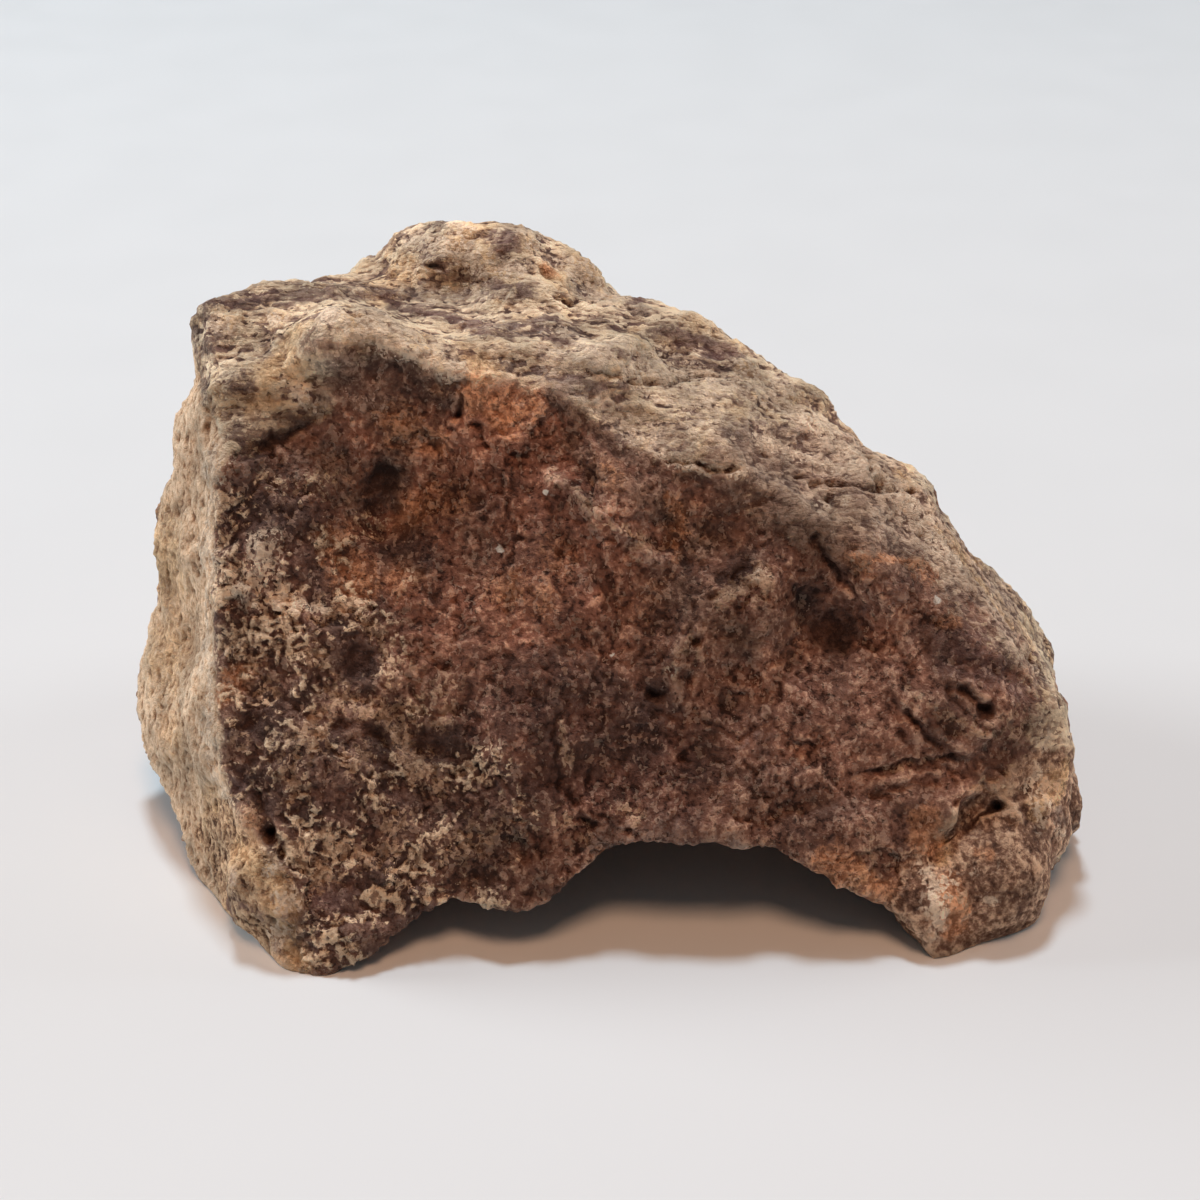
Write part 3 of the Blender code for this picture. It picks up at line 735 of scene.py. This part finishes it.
# bands of colour: corners in photo pixels, half width in mm, strength
bands = {
    "ash": (
        (((546, 462), (575, 495), (605, 515), (640, 545), (665, 562)), 0.7, 0.6),
        (((1046, 768), (1052, 790), (1060, 818)), 0.5, 0.9),
        (((560, 386), (600, 400), (630, 428)), 1.2, 0.9),
        (((330, 285), (400, 290), (470, 296), (520, 290)), 0.8, 0.7),
        (((590, 845), (660, 852), (740, 846)), 0.6, 0.8)),
    "tan": (
        (((552, 470), (580, 498), (612, 522), (645, 548)), 0.45, 0.6),
        (((720, 602), (738, 588), (757, 570), (768, 592)), 0.55, 1.0),
        (((686, 634), (677, 655), (675, 675), (677, 698)), 0.26, 0.6),
        (((562, 722), (563, 742), (568, 768)), 0.35, 0.8),
        (((925, 848), (948, 824), (980, 800), (1015, 780), (1042, 752)), 0.35, 0.5),
        (((884, 774), (912, 764), (945, 755)), 0.3, 0.8),
        (((905, 690), (940, 712), (985, 735), (1015, 735)), 0.45, 0.6),
        (((330, 600), (356, 612), (384, 640), (392, 668)), 0.55, 0.8),
        (((296, 742), (320, 716), (352, 702), (384, 716), (404, 744), (412, 778)), 0.55, 0.9),
        (((560, 812), (578, 822), (586, 836)), 0.45, 0.6),
        (((340, 858), (372, 858), (398, 846)), 0.4, 0.8)),
    "pale": (
        (((214, 440), (208, 520), (206, 600), (208, 700), (214, 780)), 0.55, 0.8),
        (((416, 238), (470, 262), (520, 270)), 0.8, 0.9),
        (((560, 262), (590, 282), (620, 300)), 0.8, 0.9),
        (((690, 372), (760, 392), (830, 428)), 0.9, 0.8),
        (((850, 452), (905, 500), (955, 560)), 0.8, 0.8),
        (((760, 440), (820, 462), (850, 470)), 0.6, 0.7),
        (((1030, 762), (1040, 772), (1036, 800), (1042, 832)), 0.3, 0.9),
        (((332, 312), (372, 333), (412, 352), (452, 368)), 0.9, 1.0),
        (((925, 868), (934, 890), (944, 918)), 0.5, 1.0),
        (((256, 540), (262, 566), (246, 586)), 0.7, 1.0),
        (((262, 600), (300, 606), (322, 612)), 0.45, 0.9),
        (((640, 356), (668, 354), (700, 350)), 0.35, 0.9),
        (((600, 372), (650, 384), (700, 372), (760, 392)), 0.45, 0.9),
        (((640, 400), (700, 408), (720, 412)), 0.35, 0.8),
        (((648, 450), (700, 470), (745, 474)), 0.4, 0.8),
        (((560, 330), (600, 352), (640, 380)), 0.45, 0.8)),
    # painted shade under the brow, the lips and the shoulder, and in the dish under the brow
    "underLipShade": (
        (((310, 340), (345, 350), (376, 362)), 1.1, 0.7),
        (((372, 350), (402, 362), (432, 380), (462, 392)), 1.0, 0.9),
        (((262, 440), (290, 422), (322, 398), (345, 366)), 0.9, 0.8),
        (((352, 372), (380, 402), (400, 440), (396, 480)), 1.5, 0.9),
        (((566, 408), (600, 436), (645, 462), (690, 476)), 0.8, 0.8),
        (((745, 495), (790, 522), (840, 545), (900, 560)), 1.5, 0.8),
        (((690, 455), (740, 450), (800, 470), (860, 500)), 1.3, 0.5),
        (((575, 442), (622, 482), (668, 505), (705, 545)), 1.3, 0.8),
        (((745, 640), (690, 600), (655, 580)), 1.5, 0.7),
        (((440, 470), (470, 520), (480, 570)), 1.8, 0.5)),
    # charred crust, and painted shade in the hollows and creases
    "charAndHollowShade": (
        (((800, 600), (825, 622), (850, 636)), 1.0, 0.9),
        (((262, 446), (285, 436), (303, 424), (322, 412)), 0.5, 0.8),
        (((196, 306), (196, 350), (206, 398)), 0.7, 0.8),
        (((316, 600), (350, 640), (366, 680)), 0.9, 0.8),
        (((560, 660), (620, 700), (668, 700)), 1.4, 0.7)),
    "plum": (
        (((551, 340), (600, 350), (644, 357)), 0.45, 0.9),
        (((441, 272), (490, 280), (528, 292)), 0.7, 0.8),
        (((400, 308), (450, 318), (505, 336)), 0.8, 0.8),
        (((640, 382), (690, 390), (740, 402)), 0.4, 0.8),
        (((560, 372), (610, 392), (650, 420)), 0.35, 0.7),
        (((300, 300), (350, 296), (400, 300)), 0.5, 0.7),
        (((200, 302), (240, 300), (290, 298), (330, 290)), 0.7, 0.8),
        (((660, 330), (700, 344), (740, 356)), 0.8, 0.9),
        (((230, 900), (300, 940), (360, 930), (440, 905)), 1.0, 0.5)),
    "ochre": (
        (((1068, 764), (1062, 782), (1054, 800)), 0.6, 1.0),
        (((238, 850), (272, 882), (290, 930), (300, 962)), 0.95, 1.0),
        (((342, 314), (372, 328), (396, 342)), 0.5, 0.9),
        (((300, 330), (270, 372), (250, 408)), 0.9, 0.8),
        (((1058, 776), (1046, 796), (1036, 812)), 0.6, 1.0),
        (((940, 530), (985, 590), (1010, 625)), 0.6, 0.7)),
    "rust": (
        (((948, 880), (960, 905), (955, 925)), 0.75, 1.3),
        (((922, 815), (928, 842)), 0.9, 1.2),
        (((858, 560), (890, 556), (925, 566)), 0.45, 0.8),
        (((672, 500), (684, 530), (676, 556)), 0.6, 0.7),
        (((820, 862), (850, 872), (890, 890)), 0.8, 0.9)),
}

# white grains caught in the broken face: photo pixel, radius in mm
whiteGrains = ((500, 549, 0.3), (936, 600, 0.36), (545, 492, 0.16), (501, 518, 0.14), (612, 655, 0.14))


def paint(stone, sight):
    mesh = stone.data
    points = pointsOf(mesh)
    moved = points + drift(points, 1.3, (67.0, 73.0, 79.0)) * 0.6
    for name, spots in patches.items():
        marks = [(sight.hit(x, y), radius, strength) for x, y, radius, strength in spots]
        marks += [(sight.path(line), width, strength) for line, width, strength in bands.get(name, ())]
        total = np.zeros(len(points))
        for spot, reach, strength in marks:
            if spot is not None:
                total = np.maximum(total, strength * nearness(moved, spot, reach * fading["paint"]))
        addWeight(mesh, name, total)
    white = np.zeros(len(points))
    for across, down, radius in whiteGrains:
        white = np.maximum(white, nearness(points, sight.hit(across, down), radius * fading["grain"]))
    addWeight(mesh, "whiteGrain", white)


paint(stone, Sight(stone, photoView))
print("patches painted")


class Recipe:
    # short hands for building one material's nodes

    def __init__(self, name):
        self.material = bpy.data.materials.new(name)
        self.material.use_nodes = True
        self.tree = self.material.node_tree
        self.shader = self.tree.nodes["Principled BSDF"]
        self.shader.inputs["Specular IOR Level"].default_value = 0.25
        place = self.tree.nodes.new("ShaderNodeTexCoord")
        scale = self.tree.nodes.new("ShaderNodeVectorMath")
        scale.operation = "SCALE"
        scale.inputs["Scale"].default_value = 1000.0
        self.join(place.outputs["Object"], scale.inputs[0])
        self.mmPlace = scale.outputs[0]

    def join(self, out, into):
        self.tree.links.new(out, into)

    def feed(self, value, socket):
        # a number, a colour or another node's output
        if isinstance(value, tuple):
            socket.default_value = (*value, 1.0)
        elif isinstance(value, (int, float)):
            socket.default_value = value
        else:
            self.join(value, socket)

    def stretched(self, stretch):
        node = self.tree.nodes.new("ShaderNodeVectorMath")
        node.operation = "DIVIDE"
        self.join(self.mmPlace, node.inputs[0])
        node.inputs[1].default_value = stretch
        return node.outputs[0]

    def grain(self, size, detail=3.0, place=None, rough=0.6, warp=0.0):
        node = self.tree.nodes.new("ShaderNodeTexNoise")
        self.join(place or self.mmPlace, node.inputs["Vector"])
        node.inputs["Scale"].default_value = 1.0 / size
        node.inputs["Detail"].default_value = detail
        node.inputs["Roughness"].default_value = rough
        node.inputs["Distortion"].default_value = warp
        return node.outputs["Fac"]

    def bent(self, place, size, reach):
        # the place pushed about by noise, so that cells lose their straight sides
        node = self.tree.nodes.new("ShaderNodeTexNoise")
        self.join(self.mmPlace, node.inputs["Vector"])
        node.inputs["Scale"].default_value = 1.0 / size
        push = self.tree.nodes.new("ShaderNodeVectorMath")
        push.operation = "MULTIPLY_ADD"
        self.join(node.outputs["Color"], push.inputs[0])
        push.inputs[1].default_value = (reach, reach, reach)
        self.join(place, push.inputs[2])
        return push.outputs[0]

    def chips(self, size, place):
        # three random tones for each small chip of stone
        parts = self.tree.nodes.new("ShaderNodeSeparateColor")
        cells = self.tree.nodes.new("ShaderNodeTexVoronoi")
        self.join(place, cells.inputs["Vector"])
        cells.inputs["Scale"].default_value = 1.0 / size
        self.join(cells.outputs["Color"], parts.inputs[0])
        return [self.span(part, 0.0, 1.0, 0.30, 0.70) for part in parts.outputs]

    def weight(self, name):
        node = self.tree.nodes.new("ShaderNodeAttribute")
        node.attribute_name = name
        return node.outputs["Fac"]

    def math(self, operation, first, second):
        node = self.tree.nodes.new("ShaderNodeMath")
        node.operation = operation
        self.feed(first, node.inputs[0])
        self.feed(second, node.inputs[1])
        return node.outputs[0]

    def add(self, first, second):
        return self.math("ADD", first, second)

    def times(self, first, second):
        return self.math("MULTIPLY", first, second)

    def blend(self, *pairs):
        # a sum of values, each with its share
        total = self.times(*pairs[0])
        for value, share in pairs[1:]:
            total = self.add(total, self.times(value, share))
        return total

    def span(self, value, low, high, newLow=0.0, newHigh=1.0):
        node = self.tree.nodes.new("ShaderNodeMapRange")
        node.interpolation_type = "SMOOTHSTEP"
        self.join(value, node.inputs["Value"])
        node.inputs["From Min"].default_value = low
        node.inputs["From Max"].default_value = high
        node.inputs["To Min"].default_value = newLow
        node.inputs["To Max"].default_value = newHigh
        return node.outputs["Result"]

    def ramp(self, value, *stops):
        node = self.tree.nodes.new("ShaderNodeValToRGB")
        self.join(value, node.inputs["Fac"])
        band = node.color_ramp
        while len(band.elements) < len(stops):
            band.elements.new(0.5)
        for element, (position, colour) in zip(band.elements, stops):
            element.position = position
            element.color = (*colour, 1.0)
        return node.outputs["Color"]

    def mix(self, share, under, over, way="MIX"):
        node = self.tree.nodes.new("ShaderNodeMix")
        node.data_type = "RGBA"
        node.blend_type = way
        self.feed(share, node.inputs["Factor"])
        self.feed(under, node.inputs["A"])
        self.feed(over, node.inputs["B"])
        return node.outputs["Result"]

    def tinted(self, share, colour, tint):
        # the colour times a tint, where the share is
        return self.mix(share, colour, self.mix(1.0, colour, tint, "MULTIPLY"))

    def brighter(self, colour, amount):
        grey = self.tree.nodes.new("ShaderNodeCombineColor")
        for socket in grey.inputs:
            self.join(amount, socket)
        return self.mix(1.0, colour, grey.outputs[0], "MULTIPLY")

    def ragged(self, weight, speckle, reach, edge):
        # a painted patch that breaks up into specks towards its rim
        total = self.add(weight, self.times(self.math("SUBTRACT", speckle, 0.5), reach * 2))
        return self.times(self.span(total, 0.45 - edge, 0.45 + edge), self.span(weight, 0.02, 0.40))


# colours of the stone and of the painted shade; reddish, dim and topOchre multiply what lies under them
stoneColours = {
    "brokenDark": (0.054, 0.021, 0.013),
    "brokenMid": (0.204, 0.094, 0.063),
    "brokenWarm": (0.302, 0.152, 0.104),
    "brokenLight": (0.66, 0.42, 0.29),
    "brokenGrey": (0.15, 0.086, 0.066),
    "reddish": (1.12, 0.99, 0.93),
    "dim": (0.74, 0.7, 0.72),
    "topDark": (0.105, 0.062, 0.05),
    "topMid": (0.5, 0.355, 0.245),
    "topLight": (0.96, 0.79, 0.56),
    "topOchre": (1.0, 0.86, 0.68),
    "bareDark": (0.12, 0.055, 0.03),
    "bareMid": (0.44, 0.27, 0.155),
    "bareLight": (0.8, 0.57, 0.36),
    "leftDark": (0.3, 0.165, 0.09),
    "leftMid": (0.64, 0.435, 0.272),
    "leftLight": (0.85, 0.65, 0.455),
    "rust": (0.34, 0.14, 0.068),
    "rustLight": (0.82, 0.42, 0.225),
    # charred crust, also used for the painted shade in the hollows
    "charAndHollowShade": (0.045, 0.026, 0.022),
    "charAndHollowShadeLight": (0.14, 0.088, 0.074),
    "ash": (0.2, 0.145, 0.12),
    "ashLight": (0.46, 0.37, 0.31),
    "plum": (0.12, 0.062, 0.054),
    "plumLight": (0.26, 0.165, 0.14),
    # painted shade under the brow and the lips
    "underLipShade": (0.1, 0.05, 0.034),
    "underLipShadeLight": (0.32, 0.2, 0.14),
    "ochre": (0.46, 0.27, 0.13),
    "ochreLight": (0.94, 0.66, 0.38),
    "slope": (0.16, 0.094, 0.07),
    "slopeLight": (0.64, 0.465, 0.35),
    "tan": (0.33, 0.2, 0.125),
    "tanLight": (0.7, 0.49, 0.33),
    "crust": (0.34, 0.215, 0.14),
    "crustLight": (1.0, 0.79, 0.55),
    "pale": (0.6, 0.46, 0.34),
    "paleLight": (0.92, 0.755, 0.57),
    "footDark": (0.07, 0.032, 0.02),
    "footMid": (0.255, 0.138, 0.09),
    "footLight": (0.76, 0.53, 0.36),
    "whiteGrain": (0.86, 0.8, 0.7),
    "sparkle": (0.76, 0.54, 0.4),
}

# where each colour sits in the grain of its kind of surface, 0 to 1
stoneShades = {
    "broken": {"Dark": 0.39, "Mid": 0.47, "Warm": 0.55, "Light": 0.65},
    "top": {"Dark": 0.40, "Mid": 0.455, "Light": 0.545},
    "left": {"Dark": 0.37, "Mid": 0.45, "Light": 0.57},
    "bare": {"Dark": 0.40, "Mid": 0.48, "Light": 0.58},
    "foot": {"Dark": 0.39, "Mid": 0.50, "Light": 0.61},
}

# painted layers from the lowest up: how far the specks reach, softness, most cover
stoneLayers = {
    "ash": (1.3, 0.42, 0.62),
    "ochre": (1.5, 0.42, 0.75),
    # painted shade under the brow and the lips
    "underLipShade": (1.2, 0.40, 0.80),
    "plum": (1.2, 0.30, 0.80),
    "rust": (1.4, 0.42, 0.75),
    # charred crust, and painted shade in the hollows
    "charAndHollowShade": (1.4, 0.42, 0.80),
    "crust": (1.5, 0.18, 0.90),
    "tan": (1.6, 0.20, 0.80),
    "pale": (2.1, 0.22, 0.90),
}

# shares and depths of the last touches
stoneFinish = {
    "ridgesAndCreaseShadeShare": 0.12,       # lighter on ridges, painted shade in creases and hollows
    "greyVeil": 0.45,        # grey spots in the broken face
    "ochreVeil": 0.55,       # warm spots on the top
    "slopeCover": 0.75,
    "charCover": 0.48,
    "sparkle": 0.30,
    # share of painted shade in the cracks, hollows and pores
    "pitShadeShare": 0.7,
    # how much brighter the painted light patches make the colour
    "paintedLightGain": 0.30,
    "bumpDepth": 0.00032,    # m
}


def stoneMaterial(colours, shades, layers, finish):
    make = Recipe("weatheredStone")
    fine = make.grain(0.26, 4.0, rough=0.60)
    medium = make.grain(0.75, 4.0, rough=0.66, warp=0.8)
    coarse = make.grain(5.0, 3.0)
    hue = make.grain(3.2, 3.0, warp=0.5)
    streaks = make.grain(1.0, 4.0, place=make.stretched((2.2, 0.62, 0.50)), rough=0.62, warp=1.0)
    slots = make.grain(0.6, 4.0, place=make.stretched((0.8, 0.8, 2.2)), rough=0.66)
    patch = make.grain(2.6, 3.0, rough=0.6, warp=0.5)
    topPatch = make.grain(3.0, 3.0, place=make.stretched((2.0, 0.9, 0.8)), rough=0.6, warp=0.8)
    grains = make.chips(0.32, make.bent(make.stretched((0.85, 0.85, 1.3)), 0.45, 0.9))
    flakes = make.chips(0.46, make.bent(make.stretched((2.1, 0.70, 0.60)), 0.55, 0.8))
    # lighter on ridges, painted shade in creases and hollows
    ridgesAndCreaseShade = make.times(make.weight("edge"), finish["ridgesAndCreaseShadeShare"])

    def tone(*pairs):
        return make.add(make.blend(*pairs), ridgesAndCreaseShade)

    def surface(name, *pairs):
        stops = ((place, colours[name + shade]) for shade, place in shades[name].items())
        return make.ramp(tone(*pairs), *stops)

    def pair(name, share):
        return make.mix(share, colours[name], colours[name + "Light"])

    # the five kinds of surface
    broken = surface("broken", (fine, 0.34), (grains[0], 0.14), (medium, 0.26), (patch, 0.26))
    greyVeil = make.times(make.span(hue, 0.46, 0.62), finish["greyVeil"])
    broken = make.mix(greyVeil, broken, colours["brokenGrey"])
    top = surface("top", (streaks, 0.24), (flakes[0], 0.34), (fine, 0.10), (topPatch, 0.32))
    purple = make.times(make.span(flakes[1], 0.54, 0.62), make.span(topPatch, 0.42, 0.56, 0.75, 0.10))
    top = make.mix(purple, top, pair("plum", fine))
    ochreVeil = make.times(make.span(hue, 0.50, 0.64), finish["ochreVeil"])
    top = make.tinted(ochreVeil, top, colours["topOchre"])
    left = surface("left", (slots, 0.55), (fine, 0.30), (grains[0], 0.15))
    bare = surface("bare", (slots, 0.35), (fine, 0.35), (grains[0], 0.30))
    left = make.mix(make.ragged(make.weight("bareEdge"), medium, 0.6, 0.30), left, bare)
    foot = surface("foot", (fine, 0.34), (medium, 0.24), (grains[0], 0.14), (patch, 0.28))

    # laid over one another where the stone was marked for them
    specks = make.blend((fine, 0.40), (medium, 0.35), (grains[1], 0.25))
    colour = make.mix(make.weight("leftSide"), top, left)
    slopeTone = make.span(tone((streaks, 0.35), (fine, 0.30), (flakes[0], 0.35)), 0.40, 0.60)
    slopeShare = make.times(make.ragged(make.weight("greySlope"), specks, 0.9, 0.35), finish["slopeCover"])
    colour = make.mix(slopeShare, colour, pair("slope", slopeTone))
    colour = make.mix(make.ragged(make.weight("broken"), specks, 0.9, 0.30), colour, broken)
    colour = make.mix(make.ragged(make.weight("rightFoot"), specks, 0.9, 0.30), colour, foot)
    for name in ("reddish", "dim"):
        colour = make.tinted(make.weight(name), colour, colours[name])
    charTone = make.span(tone((fine, 0.5), (grains[0], 0.5)), 0.44, 0.66)
    charShare = make.times(make.ragged(make.weight("charred"), specks, 1.0, 0.4), finish["charCover"])
    # the charred crust, in the colour also used for the painted shade in the hollows
    colour = make.mix(charShare, colour, pair("charAndHollowShade", charTone))

    # painted patches; the lightest three break up into sharper bits
    bits = make.blend((fine, 0.35), (grains[1], 0.65))
    layerTone = make.span(tone((fine, 0.55), (grains[2], 0.45)), 0.38, 0.64)
    for name, (reach, edge, most) in layers.items():
        speckle = bits if name in ("crust", "tan", "pale") else specks
        share = make.times(make.ragged(make.weight(name), speckle, reach, edge), most)
        colour = make.mix(share, colour, pair(name, layerTone))

    # small bright grains in the broken face, and painted shade in the cracks, hollows and pores
    bright = make.times(make.span(grains[2], 0.665, 0.685), make.weight("broken"))
    bright = make.times(bright, make.span(make.weight("hollowShade"), 0.0, 0.3, 1.0, 0.0))
    colour = make.mix(make.times(bright, finish["sparkle"]), colour, colours["sparkle"])
    colour = make.mix(make.span(make.weight("whiteGrain"), 0.30, 0.55), colour, colours["whiteGrain"])
    pores = make.span(make.grain(0.42, 3.0), 0.60, 0.69)
    pores = make.times(pores, make.span(make.weight("broken"), 0.0, 1.0, 0.25, 1.0))
    # painted shade in the marked cracks and hollows, and in the pores
    shadeInHollows = make.times(make.weight("hollowShade"), make.span(medium, 0.36, 0.60, 1.0, 0.45))
    pitShade = make.math("MAXIMUM", shadeInHollows, pores)
    colour = make.mix(make.times(pitShade, finish["pitShadeShare"]), colour, colours["brokenDark"])
    shade = make.times(make.span(coarse, 0.35, 0.65, 0.76, 1.14), make.span(patch, 0.38, 0.62, 0.82, 1.10))
    colour = make.brighter(colour, shade)
    # painted light over the patches marked for it
    paintedLightGain = make.add(make.times(make.weight("paintedLightPatch"), finish["paintedLightGain"]), 1.0)
    colour = make.brighter(colour, paintedLightGain)
    make.join(colour, make.shader.inputs["Base Color"])

    make.join(make.span(fine, 0.3, 0.7, 0.78, 0.95), make.shader.inputs["Roughness"])
    bump = make.tree.nodes.new("ShaderNodeBump")
    bump.inputs["Strength"].default_value = 1.0
    bump.inputs["Distance"].default_value = finish["bumpDepth"]
    rough = make.blend((fine, 0.8), (medium, 0.9), (make.weight("topSide"), streaks))
    make.join(make.math("SUBTRACT", rough, make.times(pitShade, 0.5)), bump.inputs["Height"])
    make.join(bump.outputs["Normal"], make.shader.inputs["Normal"])
    return make.material


stone.data.materials.clear()
stone.data.materials.append(stoneMaterial(stoneColours, stoneShades, stoneLayers, stoneFinish))
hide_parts("meteorite")
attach(stone, "root")
print("stone finished")


stageLook = {
    "floorColour": (0.745, 0.785, 0.805),
    "floorHalf": 1.5,
    "roomColour": (0.93, 0.93, 0.92),
    "roomStrength": 0.10,
    "lights": {
        "key": {"place": (-0.05, 0.27, 0.78), "size": 0.14, "power": 3.2, "tint": (0.86, 1.03, 1.15)},
        "left": {"place": (-0.78, 0.20, 0.27), "size": 0.34, "power": 4.2, "tint": (0.98, 1.0, 1.02)},
        "right": {"place": (0.80, 0.22, 0.27), "size": 0.34, "power": 1.7, "tint": (0.98, 1.0, 1.02)},
        "front": {"place": (0.03, -0.22, 0.80), "size": 0.28, "power": 2.6, "tint": (1.0, 0.56, 0.34)},
    },
}


def makeFloor(look):
    mesh = bpy.data.meshes.new("floor")
    half = look["floorHalf"]
    corners = [(-half, -half, 0), (half, -half, 0), (half, half, 0), (-half, half, 0)]
    mesh.from_pydata(corners, [], [(0, 1, 2, 3)])
    floor = bpy.data.objects.new("floor", mesh)
    bpy.context.scene.collection.objects.link(floor)
    make = Recipe("paleFloor")
    make.feed(look["floorColour"], make.shader.inputs["Base Color"])
    make.join(make.span(make.grain(14.0, 2.0), 0.3, 0.7, 0.55, 0.65), make.shader.inputs["Roughness"])
    mesh.materials.append(make.material)


def makeLight(name, lamp):
    data = bpy.data.lights.new(name, "AREA")
    data.shape = "DISK"
    data.size = lamp["size"]
    data.energy = lamp["power"]
    data.color = lamp["tint"]
    light = bpy.data.objects.new(name, data)
    bpy.context.scene.collection.objects.link(light)
    light.location = lamp["place"]
    light.rotation_euler = (-Vector(lamp["place"])).to_track_quat("-Z", "Y").to_euler()


def makeRoom(look):
    world = bpy.data.worlds.new("paleRoom")
    bpy.context.scene.world = world
    world.use_nodes = True
    back = world.node_tree.nodes["Background"]
    back.inputs["Color"].default_value = (*look["roomColour"], 1.0)
    back.inputs["Strength"].default_value = look["roomStrength"]


makeFloor(stageLook)
for lightName, lamp in stageLook["lights"].items():
    makeLight(lightName + "Light", lamp)
makeRoom(stageLook)
bpy.context.scene.view_settings.view_transform = "Standard"
print("floor, lights and room in place")
